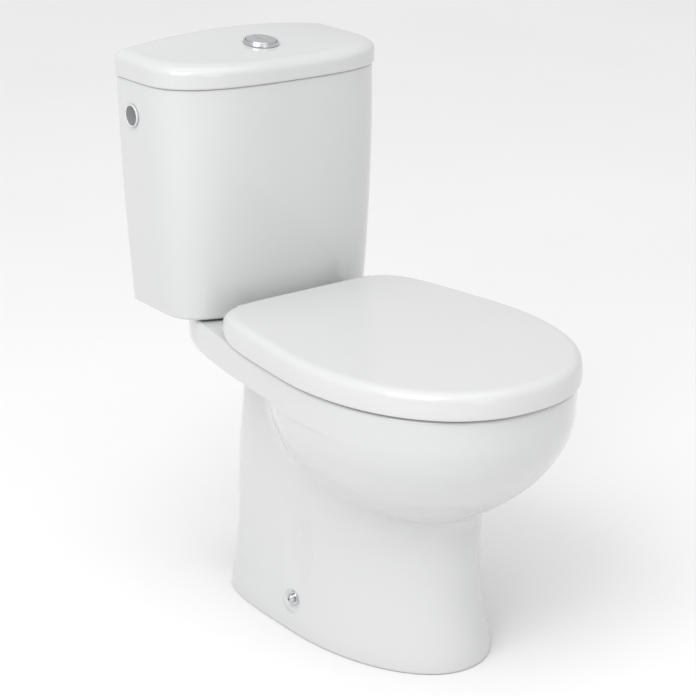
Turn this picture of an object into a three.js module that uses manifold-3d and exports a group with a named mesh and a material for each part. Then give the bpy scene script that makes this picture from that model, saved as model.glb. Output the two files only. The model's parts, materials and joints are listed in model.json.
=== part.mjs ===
// Close-coupled toilet: a floor-standing pan with a cistern bolted on its rear shelf, a soft-close seat and a dual flush.
// Millimetres, +Z up. X = 0 is the symmetry plane, the user sits facing -Y, and the room's wall is the plane Y = WALL.
// "d" below is the distance in front of that wall, so Y = WALL - d.
import * as THREE from 'three';
import { mergeVertices } from 'three/addons/utils/BufferGeometryUtils.js';
import Module from 'manifold-3d';

const wasm = await Module();
wasm.setup();

// ---------------------------------------------------------------- driving dimensions
const WALL = 337;
const PAN_TOP = 395;            // rim and shelf height
const SHELF_BOTTOM = 350;
const SHELF_REAR = 46;          // d of the shelf's rear edge
const RIM = { a: 178.5, b: 237, c: 426, n: 2.2 };
const WALL_T = 13;              // vitreous china wall
const OUTLET_Z = 187, OUTLET_D = 130, OUTLET_R = 50, OUTLET_BORE = 41, TRAP_R = 45, TRAP_BORE = 34;
const TANK_BOTTOM = 398, TANK_TOP = 716.5, TANK_WALL = 9.5, TANK_FLOOR = 410;
const TANK_HALF = 176.5, TANK_FRONT = 180, TANK_BACK = 5;
const LID_SEAM = 716.8, LID_GROW = 2.4, LID_T = 10;
const LID_TILT = Math.atan(0.137);
const BUTTON_D = 102, BUTTON_R = 21, BEZEL_R = 26;
const HINGE_D = 205, HINGE_Z = 413.6, BARREL_R = 17.2, BARREL_IN = 14.3, HINGE_X = 77.5;
const COVER_BOTTOM = 397.5, COVER_UNDER = 426.3;
const RING_BOTTOM = 399, RING_TOP = 421.5, RING_REAR = 224;
const BOLT_X = 75, VALVE_D = 102;
const SIDE_D = 53, SIDE_Z = 670;
const FILL_X = 126;
const FIX_D = 325, FIX_Z = 46;
// shallow flute down each side of the pedestal: d and z of its middle, half width, half height, depth
const FLUTE_D = 327, FLUTE_Z = 116, FLUTE_W = 33, FLUTE_H = 70, FLUTE_DEPTH = 4.4;
const GAP = 0.3;

// sections of the pedestal: z, half width, d of the front, d of the rear
const PEDESTAL = [[0, 124.5, 557, 126], [12, 123.5, 556, 127], [45, 117.5, 550, 131], [100, 109, 543, 130], [150, 105, 542, 126],
  [200, 103, 542, 127], [250, 102, 543, 134], [300, 104, 546, 145], [345, 107, 550, 150], [400, 107, 550, 150]];
const PED_C = 330, PED_N = [2.05, 4];
// sections of the bowl: z, half width, d of the front, d of the rear
const BOWL = [[190, 40, 506, 400], [202, 66, 530, 360], [214, 86, 552, 330], [228, 106, 573, 308], [246, 127, 596, 290],
  [270, 146.5, 621, 275], [298, 162.5, 642, 262], [328, 173.5, 656.5, 252], [352, 177, 661.5, 249], [372, 177.8, 662.3, 247], [395, 178.5, 663, 246]];
const BOWL_C = 440, BOWL_N = [2.2, 2.4];
// the bowl's inside: z, half width, d of the front, d of the rear
const BOWL_IN = [[398, 136, 616, 345], [376, 137, 617, 345], [368, 146, 627, 338], [335, 150, 633, 332], [300, 143, 621, 332],
  [262, 122, 593, 335], [234, 97, 561, 340], [208, 70, 526, 346], [180, 54, 494, 353],
  [140, 42, 462, 361], [112, 32, 438, 372]];

// ---------------------------------------------------------------- solids
// one closed triangle mesh: vertices merged, slivers dropped, faces out
function closed(geometry) {
  let g = geometry.clone();
  for (const k of Object.keys(g.attributes)) if (k !== 'position') g.deleteAttribute(k);
  if (g.index === null) g = mergeVertices(g, 1e-3);
  else { const flat = g.toNonIndexed(); g = mergeVertices(flat, 1e-3); }
  const p = g.attributes.position.array, ix = g.index.array, out = [];
  let vol = 0;
  for (let i = 0; i < ix.length; i += 3) {
    const [a, b, c] = [ix[i], ix[i + 1], ix[i + 2]];
    if (a === b || b === c || a === c) continue;
    out.push(a, b, c);
    const v = (k, j) => p[3 * k + j];
    vol += v(a, 0) * (v(b, 1) * v(c, 2) - v(b, 2) * v(c, 1)) - v(a, 1) * (v(b, 0) * v(c, 2) - v(b, 2) * v(c, 0)) + v(a, 2) * (v(b, 0) * v(c, 1) - v(b, 1) * v(c, 0));
  }
  if (vol < 0) for (let i = 0; i < out.length; i += 3) [out[i], out[i + 1]] = [out[i + 1], out[i]];
  g.setIndex(out);
  return g;
}
function toSolid(geometry) {
  const g = closed(geometry);
  return new wasm.Manifold(new wasm.Mesh({ numProp: 3, vertProperties: new Float32Array(g.attributes.position.array), triVerts: new Uint32Array(g.index.array) }));
}
function toGeometry(solid) {
  const m = solid.getMesh();
  const g = new THREE.BufferGeometry();
  g.setAttribute('position', new THREE.BufferAttribute(new Float32Array(m.vertProperties), 3));
  g.setIndex([...m.triVerts]);
  return g;
}
function cut(body, ...tools) {
  let s = toSolid(body);
  for (const t of tools) s = s.subtract(toSolid(t));
  return toGeometry(s);
}
function join(...bodies) {
  let s = toSolid(bodies[0]);
  for (const b of bodies.slice(1)) s = s.add(toSolid(b));
  return toGeometry(s);
}
// a skin through horizontal rings of [x, d, z] points, closed by a fan at each end
function loft(rings, lowCentre, highCentre) {
  const M = rings.length - 1, N = rings[0].length;
  let area = 0;
  const big = rings[M >> 1];
  for (let i = 0; i < N; i++) { const [x0, d0] = big[i], [x1, d1] = big[(i + 1) % N]; area += x0 * -d1 - x1 * -d0; }
  const use = area > 0 ? rings : rings.map((r) => r.slice().reverse());
  const mid = (r) => [0, 1, 2].map((j) => r.reduce((s, q) => s + q[j], 0) / N);
  const g = new THREE.CylinderGeometry(1, 1, M, N, M), p = g.attributes.position;
  for (let i = 0; i < p.count; i++) {
    const j = Math.round(p.getY(i) + M / 2), x = p.getX(i), z = p.getZ(i);
    let q;
    if (Math.hypot(x, z) < 0.5) q = j === 0 ? lowCentre || mid(use[0]) : highCentre || mid(use[M]);
    else q = use[j][((Math.round((Math.atan2(x, z) / (2 * Math.PI)) * N) % N) + N) % N];
    p.setXYZ(i, q[0], WALL - q[1], q[2]);
  }
  return g;
}
const box = (x0, x1, d0, d1, z0, z1) => new THREE.BoxGeometry(x1 - x0, d1 - d0, z1 - z0).translate((x0 + x1) / 2, WALL - (d0 + d1) / 2, (z0 + z1) / 2);
const cylZ = (r, x, d, z0, z1, seg = 14, r2 = r) => new THREE.CylinderGeometry(r2, r, z1 - z0, seg).rotateX(Math.PI / 2).translate(x, WALL - d, (z0 + z1) / 2);
const cylX = (r, x0, x1, d, z, seg = 14) => new THREE.CylinderGeometry(r, r, x1 - x0, seg).rotateZ(Math.PI / 2).translate((x0 + x1) / 2, WALL - d, z);
const cylY = (r, d0, d1, x, z, seg = 20) => new THREE.CylinderGeometry(r, r, d1 - d0, seg).translate(x, WALL - (d0 + d1) / 2, z);
// a turned piece from [r, height] points, its axis on local Z
const turned = (pts, seg = 14) => new THREE.LatheGeometry(pts.map(([r, h]) => new THREE.Vector2(r, h)), seg).rotateX(Math.PI / 2);
const ring = (rin, rout, z0, z1, seg = 14) => turned([[rin, z0], [rout, z0], [rout, z1], [rin, z1], [rin, z0]], seg);

// ---------------------------------------------------------------- plan curves
const clamp = (v, a, b) => Math.min(b, Math.max(a, v));
function table(T, z, c) {
  const n = T.length, zs = T.map((r) => r[0]), v = T.map((r) => r[c]);
  const s = zs.slice(1).map((q, i) => (v[i + 1] - v[i]) / (q - zs[i]));
  const m = v.map((_, i) => (i === 0 ? s[0] : i === n - 1 ? s[n - 2] : s[i - 1] * s[i] <= 0 ? 0 : (2 * s[i - 1] * s[i]) / (s[i - 1] + s[i])));
  z = clamp(z, zs[0], zs[n - 1]);
  let i = 0;
  while (i < n - 2 && z >= zs[i + 1]) i++;
  const h = zs[i + 1] - zs[i], t = (z - zs[i]) / h;
  return (2 * t ** 3 - 3 * t * t + 1) * v[i] + (t ** 3 - 2 * t * t + t) * h * m[i] + (-2 * t ** 3 + 3 * t * t) * v[i + 1] + (t ** 3 - t * t) * h * m[i + 1];
}
const smin = (a, b, k) => { const h = clamp(0.5 + (0.5 * (b - a)) / k, 0, 1); return b * (1 - h) + a * h - k * h * (1 - h); };
const smax = (a, b, k) => -smin(-a, -b, k);
// signed distance, along the ray from the section's centre, to a superellipse section
function section(T, c, n, x, d, z) {
  const a = table(T, z, 1), bf = table(T, z, 2) - c, bb = c - table(T, z, 3), u = d - c, r = Math.hypot(x, u) + 1e-9;
  const e = u > 0 ? n[0] : n[1], b = u > 0 ? bf : bb;
  const rho = ((Math.abs(x) / a) ** e + (Math.abs(u) / b) ** e) ** (1 / e);
  return r - r / Math.max(rho, 1e-9);
}
function sloped(T, c, n, x, d, z) {
  const zc = Math.max(z, T[0][0] + 2), s = (section(T, c, n, x, d, zc + 2) - section(T, c, n, x, d, zc - 2)) / 4;
  return section(T, c, n, x, d, z) / Math.sqrt(1 + s * s);
}
const pedestal = (x, d, z) => sloped(PEDESTAL, PED_C, PED_N, x, d, z);
const bowl = (x, d, z) => smax(sloped(BOWL, BOWL_C, BOWL_N, x, d, z), BOWL[0][0] - z, 6);
function rimEdge(x, d) {
  const u = d - RIM.c, r = Math.hypot(x, u) + 1e-9, L = RIM.c - SHELF_REAR;
  let lo = 0, hi = 700;
  for (let i = 0; i < 26; i++) {
    const m = (lo + hi) / 2, X = Math.abs((x / r) * m), U = (u / r) * m;
    let inside;
    if (U > 0) inside = (X / RIM.a) ** RIM.n + (U / RIM.b) ** RIM.n < 1;
    else inside = -U < L && X < (RIM.a - 14 * (-U / 137) ** 1.3) * Math.max(1 - (-U / L) ** 6, 0) ** (1 / 6);
    if (inside) lo = m; else hi = m;
  }
  return r - (lo + hi) / 2;
}
// the rim's band runs out into the bowl at the sides
function shelf(x, d, z) {
  const t = clamp((d - 285) / 100, 0, 1);
  return smax(rimEdge(x, d) + 0.04 * (PAN_TOP - z) + 13 * t * t * (3 - 2 * t), SHELF_BOTTOM - z, 9);
}
function flute(x, d, z) {
  const q = 1 - ((d - FLUTE_D) / FLUTE_W) ** 2 - ((z - FLUTE_Z) / FLUTE_H) ** 2;
  return q > 0 && Math.abs(x) > 50 ? FLUTE_DEPTH * q * q * (3 - 2 * q) : 0;
}
function panField(x, d, z) {
  const t = clamp((d - 400) / 140, 0, 1), k = 50 - 30 * t * t * (3 - 2 * t);
  return smax(smin(smin(pedestal(x, d, z), bowl(x, d, z), k), shelf(x, d, z), 10) + flute(x, d, z), z - PAN_TOP, 7);
}
const PAN_C = 400;
function panRadius(th, z) {
  const ux = Math.sin(th), ud = Math.cos(th);
  let r = 420;
  while (r > 20 && panField(ux * r, PAN_C + ud * r, z) >= 0) r -= 4;
  let lo = r, hi = r + 4;
  for (let i = 0; i < 14; i++) { const m = (lo + hi) / 2; if (panField(ux * m, PAN_C + ud * m, z) < 0) lo = m; else hi = m; }
  return (lo + hi) / 2;
}
// directions spread evenly along the shelf's and the foot's outlines
function directions(N) {
  const K = 720, cum = [0];
  const at = (k, z) => { const th = (2 * Math.PI * k) / K, r = panRadius(th, z); return [r * Math.sin(th), r * Math.cos(th)]; };
  const A = [...Array(K)].map((_, k) => at(k, 372)), B = [...Array(K)].map((_, k) => at(k, 60));
  const len = (P) => P.map((p, k) => Math.hypot(p[0] - P[(k + 1) % K][0], p[1] - P[(k + 1) % K][1]));
  const la = len(A), lb = len(B), sa = la.reduce((s, v) => s + v), sb = lb.reduce((s, v) => s + v);
  for (let k = 0; k < K; k++) cum.push(cum[k] + 0.6 * la[k] / sa + 0.4 * lb[k] / sb);
  const out = [];
  for (let i = 0, k = 0; i < N; i++) {
    const t = i / N;
    while (cum[k + 1] < t) k++;
    out.push((2 * Math.PI * (k + (t - cum[k]) / (cum[k + 1] - cum[k]))) / K);
  }
  return out;
}
function superRing(a, c, df, db, n, z, N = 32) {
  return [...Array(N)].map((_, i) => {
    const t = (2 * Math.PI * i) / N, s = Math.sin(t), q = Math.cos(t), e = 2 / (q > 0 ? n[0] : n[1]);
    return [a * Math.sign(s) * Math.abs(s) ** e, c + (q > 0 ? df - c : c - db) * Math.sign(q) * Math.abs(q) ** e, z];
  });
}

// ---------------------------------------------------------------- pan
function makePan() {
  const th = directions(46);
  const levels = [0, 14, 45, 95, 155, 188, 204, 218, 234, 256, 284, 316, 345, 349.7, 350.8, 355, 370, 386, 392];
  const outer = levels.map((z) => th.map((t) => { const r = panRadius(t, z); return [r * Math.sin(t), PAN_C + r * Math.cos(t), z]; }));
  const lastR = outer[outer.length - 1];
  outer.push(lastR.map(([x, d]) => { const u = d - PAN_C, r = Math.hypot(x, u), k = (r - 4) / r; return [x * k, PAN_C + u * k, PAN_TOP]; }));
  // hollow pedestal, open to the floor and through an arch at the rear
  const hollow = [-3, 30, 100, 190, 270, 338].map((z) =>
    superRing(table(PEDESTAL, z, 1) - WALL_T, PED_C, table(PEDESTAL, z, 2) - WALL_T, table(PEDESTAL, z, 3) + WALL_T, PED_N, z, 26));
  const arch = new THREE.Shape();
  arch.moveTo(-72, -3); arch.lineTo(72, -3); arch.lineTo(72, 225); arch.absarc(0, 225, 72, 0, Math.PI, false); arch.lineTo(-72, -3);
  const doorway = new THREE.ExtrudeGeometry(arch, { depth: 110, bevelEnabled: false, curveSegments: 10 }).rotateX(Math.PI / 2).translate(0, WALL - 75, 0);
  const inner = BOWL_IN.map(([z, a, f, b]) => superRing(a, 430, f, b, [2.2, 2.3], z, 28)).reverse();
  const around = BOWL_IN.map(([z, a, f, b], i) => superRing(a + 12, 430, f + 12, b - 12, [2.2, 2.3], i === BOWL_IN.length - 1 ? z - 12 : z, 24)).reverse();
  const way = new THREE.CatmullRomCurve3([[440, 165], [432, 128], [412, 103], [380, 90], [345, 92], [305, 118], [272, 153], [236, 180], [195, OUTLET_Z], [OUTLET_D + 20, OUTLET_Z]].map(([d, z]) => new THREE.Vector3(0, WALL - d, z)));
  const tube = (r) => new THREE.ExtrudeGeometry(new THREE.Shape([...Array(12)].map((_, i) => new THREE.Vector2(r * Math.cos((i * Math.PI) / 6), r * Math.sin((i * Math.PI) / 6)))), { steps: 12, extrudePath: way, bevelEnabled: false });
  const spigot = cylY(OUTLET_R, OUTLET_D, 195, 0, OUTLET_Z, 24);
  const shellKeep = toSolid(loft(around)).add(toSolid(tube(TRAP_R))).add(toSolid(spigot));
  const cavity = toSolid(loft(hollow)).add(toSolid(doorway)).subtract(shellKeep);
  let pan = toSolid(loft(outer)).subtract(cavity).add(toSolid(spigot));
  const tools = [loft(inner), tube(TRAP_BORE), cylY(OUTLET_BORE, OUTLET_D - 5, 182, 0, OUTLET_Z, 24),
    cylZ(46.6, 0, VALVE_D, 379, 400, 20), cylZ(29, 0, VALVE_D, 357, 381, 20), box(-24, 24, VALVE_D, 350, 357, 377)];
  for (const s of [-1, 1]) {
    tools.push(cylZ(7, s * BOLT_X, VALVE_D, 330, 400, 12), cylZ(15, s * BOLT_X, VALVE_D, 330, 349.9, 18), cylZ(6, s * HINGE_X, HINGE_D, 325, 400, 12), cylZ(15, s * HINGE_X, HINGE_D, 300, 338, 18));
    tools.push(s < 0 ? cylX(5, -140, -90, FIX_D, FIX_Z, 12) : cylX(5, 90, 140, FIX_D, FIX_Z, 12));
    tools.push(s < 0 ? cylX(15, -140, -114.5, FIX_D, FIX_Z, 20) : cylX(15, 114.5, 140, FIX_D, FIX_Z, 20));
  }
  for (const t of tools) pan = pan.subtract(toSolid(t));
  const pieces = pan.decompose().sort((a, b) => b.volume() - a.volume());
  return toGeometry(pieces[0]);
}

// ---------------------------------------------------------------- cistern
function tankRing(t, grow, z, N = 40) {
  const hw = TANK_HALF - 14.2 * t ** 1.75 + grow, df = TANK_FRONT - 12.5 * t ** 1.75 + grow, cb = 100 - 26 * t, db = TANK_BACK - Math.min(grow, 1), hwb = hw - 2.5;
  const F = N - 17, rb = clamp(12 + grow, 4, 14), out = [];
  for (let i = 0; i < F; i++) {
    const a = (Math.PI * i) / (F - 1), c = Math.cos(a), s = Math.sin(a), e = 2 / 2.9;
    out.push([-hw * Math.sign(c) * Math.abs(c) ** e, df - cb + cb * Math.abs(s) ** e]);
  }
  const side = [(hw + hwb) / 2, (df - cb + db) / 2];
  out.push(side);
  for (let i = 0; i < 5; i++) { const q = (Math.PI * i) / 8; out.push([hwb - rb + rb * Math.cos(q), db + rb - rb * Math.sin(q)]); }
  for (const k of [0.66, 0.34, 0, -0.34, -0.66]) out.push([k * hwb, db]);
  for (let i = 4; i >= 0; i--) { const q = (Math.PI * i) / 8; out.push([-(hwb - rb) - rb * Math.cos(q), db + rb - rb * Math.sin(q)]); }
  out.push([-side[0], side[1]]);
  return out.map(([x, d]) => [x, d, z]);
}
const tankT = (z) => clamp((716 - z) / 318, 0, 1);
function makeTank() {
  const rings = [[398, -5], [399.5, -1.5], [403, 0], [470, 0], [550, 0], [630, 0], [700, 0], [714.8, 0], [TANK_TOP, -1.4],
    [TANK_TOP, -TANK_WALL], [640, -TANK_WALL], [520, -TANK_WALL], [422, -TANK_WALL - 1], [TANK_FLOOR, -TANK_WALL - 10]].map(([z, g]) => tankRing(tankT(z), g, z));
  const tools = [cylZ(28.4, 0, VALVE_D, 390, 420, 16)];
  for (const s of [-1, 1]) {
    tools.push(cylZ(6.5, s * BOLT_X, VALVE_D, 390, 420, 12));
    tools.push(s < 0 ? cylX(10.5, -190, -150, SIDE_D, SIDE_Z, 16) : cylX(10.5, 150, 190, SIDE_D, SIDE_Z, 16));
  }
  return cut(loft(rings), ...tools);
}
// the lid's crowned top: highest in the middle of the rear edge
function lidTop(x, d) {
  return 745 + 2 * (x / 150) ** 2 + (172 - d) * 0.137 * (1 - 0.8 * Math.min(Math.abs(x) / 165, 1.1) ** 2);
}
function makeLid() {
  const rings = [];
  const scaled = (r, k, f) => r.map(([x, d]) => { const X = x * k, D = 92 + (d - 92) * k; return [X, D, f(X, D)]; });
  const under = tankRing(0, -15, 0);
  const top = tankRing(0, LID_GROW - 16, 0);
  rings.push(scaled(under, 0.5, (x, d) => lidTop(x, d) - LID_T));
  rings.push(under.map(([x, d]) => [x, d, lidTop(x, d) - LID_T]));
  rings.push(tankRing(0, -8.6, 0).map(([x, d]) => [x, d, lidTop(x, d) - LID_T - 7]));
  rings.push(tankRing(0, -8, LID_SEAM));
  rings.push(tankRing(0, 0.4, LID_SEAM));
  rings.push(tankRing(0, 2, LID_SEAM + 1.6));
  rings.push(tankRing(0, LID_GROW, LID_SEAM + 5));
  for (const a of [0, 30, 60, 90]) {
    const q = (a * Math.PI) / 180;
    rings.push(tankRing(0, LID_GROW - 16 * (1 - Math.cos(q)), 0).map(([x, d], i) => [x, d, lidTop(top[i][0], top[i][1]) - 12 * (1 - Math.sin(q))]));
  }
  for (const k of [0.72, 0.36]) rings.push(scaled(top, k, lidTop));
  const solid = loft(rings, [0, 92, lidTop(0, 92) - LID_T], [0, 92, lidTop(0, 92)]);
  const lugs = [];
  for (const s of [-1, 1]) {
    lugs.push(box(Math.min(s * 161, s * 164.5), Math.max(s * 161, s * 164.5), 70, 100, 707, 745));
    lugs.push(box(Math.min(s * 80, s * 110), Math.max(s * 80, s * 110), 16.5, 20, 707, 750));
  }
  const hole = new THREE.CylinderGeometry(24, 24, 60, 28).rotateX(Math.PI / 2).rotateX(LID_TILT).translate(0, WALL - BUTTON_D, lidTop(0, BUTTON_D));
  const seat = new THREE.CylinderGeometry(34, 34, 20, 28).rotateX(Math.PI / 2).translate(0, 0, -20.3).rotateX(LID_TILT).translate(0, WALL - BUTTON_D, lidTop(0, BUTTON_D));
  return cut(join(solid, ...lugs), hole, seat);
}

// ---------------------------------------------------------------- seat
function seatWidth(d, rear, inset) {
  const a = 184.5 - inset, b = 243.5 - inset, c = 426, u = d - c;
  if (u >= 0) return a * Math.max(1 - (Math.min(u, b) / b) ** 2.2, 0) ** (1 / 2.2);
  return (a - 30 * (-u / 247) ** 1.2) * Math.max(1 - Math.min(-u / (c - rear), 1) ** 7, 0) ** (1 / 7);
}
function seatRing(z, inset, rear, N = 48) {
  const c = 426, b = 243.5 - inset, half = N / 2, ds = [];
  for (let i = 0; i <= half; i++) {
    const t = (Math.PI * i) / half - Math.PI / 2;
    ds.push(t < 0 ? c - (c - rear) * Math.abs(Math.sin(t)) ** 0.8 : c + b * Math.sin(t));
  }
  const left = ds.map((d) => [-seatWidth(d, rear, inset), d, z]), right = ds.map((d) => [seatWidth(d, rear, inset), d, z]).reverse();
  return [...left, ...right.slice(1, -1)];
}
const barrelRear = (z) => HINGE_D - Math.sqrt(Math.max(BARREL_R ** 2 - (z - HINGE_Z) ** 2, 0));
function makeCover() {
  const levels = [[397.5, 1.2], [400, 0], [406, 0], [413.6, 0.4], [420, 1.3], [425, 3.2], [428.8, 7.2], [430.8, 14]];
  const rings = levels.map(([z, i]) => seatRing(z, i, barrelRear(z)));
  const edge = rings[rings.length - 1];
  for (const k of [0.6, 0.25]) rings.push(edge.map(([x, d]) => [x * k, 430 + (d - 430) * k, 430.8 + 1.2 * (1 - k * k)]));
  const solid = loft(rings, [0, 430, 397.5], [0, 430, 432]);
  const under = [[390, 5.5], [420, 6.2], [424.5, 8.5], [COVER_UNDER, 14]].map(([z, i]) => seatRing(z, i, 212, 36));
  let s = toSolid(solid).subtract(toSolid(loft(under, [0, 430, 390], [0, 430, COVER_UNDER])));
  s = s.subtract(toSolid(box(-116, 116, HINGE_D - 0.1, 240, 390, COVER_UNDER))).subtract(toSolid(cylX(BARREL_IN, -116, 116, HINGE_D, HINGE_Z, 18)));
  for (const side of [-1, 1]) {
    const X = (a, b) => (side < 0 ? [-b, -a] : [a, b]);
    s = s.subtract(toSolid(box(...X(62.8, 92.2), 180, HINGE_D, 390, 424.6)));
    s = s.subtract(toSolid(box(...X(40, 64), 180, HINGE_D, 390, 402)));
    s = s.add(toSolid(cylX(11.5, ...X(92.6, 112), HINGE_D, HINGE_Z, 18))).add(toSolid(box(...X(92.6, 112), 199, 212, 414, 429)));
    s = s.subtract(toSolid(cylX(5.3, ...X(90, 113), HINGE_D, HINGE_Z, 14)));
  }
  return toGeometry(s);
}
function makeRing() {
  const levels = [[RING_BOTTOM, 10], [401.5, 8], [414, 8], [419, 11], [RING_TOP, 17]];
  const outer = loft(levels.map(([z, i]) => seatRing(z, i, RING_REAR, 40)), [0, 430, RING_BOTTOM], [0, 430, RING_TOP]);
  const hole = loft([[396, 117], [403, 112], [413, 113], [419, 117], [423, 124]].map(([z, a]) => superRing(a, 430, 590 + (a - 112), 290 - (a - 112), [2.3, 2.3], z, 30)));
  let s = toSolid(outer).subtract(toSolid(hole));
  for (const side of [-1, 1]) {
    const X = (a, b) => (side < 0 ? [-b, -a] : [a, b]);
    s = s.add(toSolid(cylX(11, ...X(43, 62.5), HINGE_D, HINGE_Z, 18))).add(toSolid(box(...X(43, 62.5), HINGE_D, 234, 405.5, 419.5)));
    s = s.subtract(toSolid(cylX(5.3, ...X(41, 64), HINGE_D, HINGE_Z, 14)));
  }
  return toGeometry(s);
}

// ---------------------------------------------------------------- scene
const mat = (color, roughness, metalness = 0) => new THREE.MeshStandardMaterial({ color, roughness, metalness });
const china = () => mat(0xf1f1ef, 0.08), duro = () => mat(0xf3f3f2, 0.16), chrome = () => mat(0xd2d4d6, 0.06, 1);
const steel = () => mat(0xb4b6b8, 0.3, 1), white = () => mat(0xe6e7e6, 0.4), grey = () => mat(0x9a9da0, 0.45), rubber = () => mat(0x26272a, 0.8);
const brass = () => mat(0xb79450, 0.3, 1), blue = () => mat(0x9fb4c4, 0.45);
const toilet = new THREE.Group();
toilet.name = 'close_coupled_toilet';
function put(name, geometry, material, parent = toilet) {
  const m = new THREE.Mesh(closed(geometry), material);
  m.name = name;
  parent.add(m);
  return m;
}
const at = (m, x, d, z) => { m.position.set(x, WALL - d, z); return m; };

put('pan', makePan(), china());
put('cistern_tank', makeTank(), china());
put('cistern_lid', makeLid(), china());
put('seat_cover', makeCover(), duro());
put('seat_ring', makeRing(), duro());

// hinge sets, left (-X) and right (+X)
for (const [side, tag] of [[-1, 'left'], [1, 'right']]) {
  const g = new THREE.Group();
  g.position.set(side * HINGE_X, WALL - HINGE_D, 0);
  toilet.add(g);
  const local = (geo) => geo.translate(0, -(WALL - HINGE_D), 0);
  const post = cut(join(local(cylX(12, -13, 13, HINGE_D, HINGE_Z, 18)), local(box(-13, 13, 197, 213, 397, HINGE_Z)), local(box(-13.4, 13.4, 191.5, 218.5, PAN_TOP + GAP, 399.3))),
    local(cylX(9.3, -14, 14, HINGE_D, HINGE_Z, 18)), local(cylZ(4.3, 0, HINGE_D, 390, 400.5, 12)));
  put('hinge_post_' + tag, post, chrome(), g);
  put('hinge_damper_' + tag, cut(local(cylX(9, -12.8, 12.8, HINGE_D, HINGE_Z, 18)), local(cylX(5.3, -14, 14, HINGE_D, HINGE_Z, 14))), grey(), g);
  put('hinge_pin_' + tag, local(cylX(5, -34, 34, HINGE_D, HINGE_Z, 14)), steel(), g);
  put('hinge_bolt_' + tag, local(cylZ(4, 0, HINGE_D, 318, 400.2, 12)), white(), g);
  put('hinge_washer_' + tag, ring(4.4, 13, 333.5, 337.6, 16), rubber(), g);
  const wing = join(ring(4.4, 9, 321, 333, 16), box(8, 13.5, WALL - 2, WALL + 2, 321, 330), box(-13.5, -8, WALL - 2, WALL + 2, 321, 330));
  put('hinge_nut_' + tag, wing, white(), g);
  // coupling bolt that clamps the cistern to the shelf
  const c = new THREE.Group();
  c.position.set(side * BOLT_X, WALL - VALVE_D, 0);
  toilet.add(c);
  put('coupling_bolt_' + tag, join(turned([[0, 331], [4, 331], [4, 414.5], [0, 414.5]], 12), turned([[0, 414], [10, 414], [10, 417.5], [7, 419.5], [0, 419.5]], 12)), brass(), c);
  put('coupling_seal_' + tag, ring(4.4, 12, TANK_FLOOR + GAP, 413.7, 16), rubber(), c);
  put('coupling_washer_' + tag, ring(4.4, 13, 346, 349.6, 16), steel(), c);
  put('coupling_nut_' + tag, join(ring(4.4, 8.5, 334, 345.7, 16), box(7.5, 17, WALL - 2, WALL + 2, 334, 342), box(-17, -7.5, WALL - 2, WALL + 2, 334, 342)), brass(), c);
  put('cistern_pad_' + tag, new THREE.BoxGeometry(32, 54, 2.4), rubber()).position.set(side * 111, WALL - 103, 396.5);
  // floor fixing: bracket inside the pedestal, screwed through the pan's wall from the side
  const b = new THREE.Group();
  b.position.set(side * 99, WALL - FIX_D, 0);
  toilet.add(b);
  const s = side;
  const bx = (x0, x1, d0, d1, z0, z1) => box(Math.min(s * x0, s * x1), Math.max(s * x0, s * x1), WALL + d0, WALL + d1, z0, z1);
  put('floor_bracket_' + tag, cut(join(bx(-4, 0, -20, 20, 0.5, 58), bx(-40, 0, -20, 20, 0.5, 4.5)), cylX(4.2, -10, 10, WALL, FIX_Z, 12), cylZ(4, -s * 22, WALL, -2, 8, 12)), white(), b);
  const alongX = (geo) => geo.rotateY((s * Math.PI) / 2);
  put('side_screw_' + tag, alongX(turned([[0, -8], [3.5, -8], [3.5, 17.6], [6.8, 17.6], [6.8, 21.4], [5.6, 23.6], [3, 24.7], [0, 25]], 16)), chrome(), b).position.z = FIX_Z;
  put('side_screw_washer_' + tag, alongX(ring(3.9, 10.5, 15.8, 17.3, 14)), chrome(), b).position.z = FIX_Z;
}

// rubber buffers
for (const [tag, x, d] of [['front_left', -105, 590], ['front_right', 105, 590], ['rear_left', -140, 300], ['rear_right', 140, 300]])
  at(put('ring_buffer_' + tag, ring(2, 8, 395.3, 398.7, 14), rubber()), x, d, 0);
for (const [tag, x] of [['left', -140], ['right', 140]]) at(put('cover_buffer_' + tag, ring(2, 7, 421.8, 426, 14), rubber()), x, 480, 0);

// push-button unit in the lid
const unit = new THREE.Group();
unit.position.set(0, WALL - BUTTON_D, lidTop(0, BUTTON_D));
unit.rotation.x = LID_TILT;
toilet.add(unit);
put('button_bezel', turned([[21.4, -22], [23.6, -22], [23.6, 0.5], [BEZEL_R, 0.5], [BEZEL_R, 3.4], [24.8, 4.8], [22.2, 5.2], [21.4, 4.6], [21.4, -22]], 28), chrome(), unit);
put('button_nut', ring(24.3, 32, -19, -10.9, 16), white(), unit);
for (const [side, tag] of [[-1, 'full'], [1, 'half']]) {
  const half = (r, gap) => {
    const sh = new THREE.Shape();
    const a0 = Math.acos(gap / r);
    sh.absarc(0, 0, r, -a0, a0, false);
    sh.closePath();
    return sh;
  };
  const cap = new THREE.ExtrudeGeometry(half(20.2, 1.1), { depth: 7, bevelEnabled: true, bevelThickness: 1, bevelSize: 0.8, bevelSegments: 1, curveSegments: 12 }).translate(0, 0, -1.6);
  if (side < 0) cap.rotateZ(Math.PI);
  put(tag + '_flush_button', cap, chrome(), unit);
  put(tag + '_flush_rod', new THREE.CylinderGeometry(2.5, 2.5, 38, 12).rotateX(Math.PI / 2).translate(side * 9, 0, -2.9 - 19), white(), unit);
}

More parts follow.
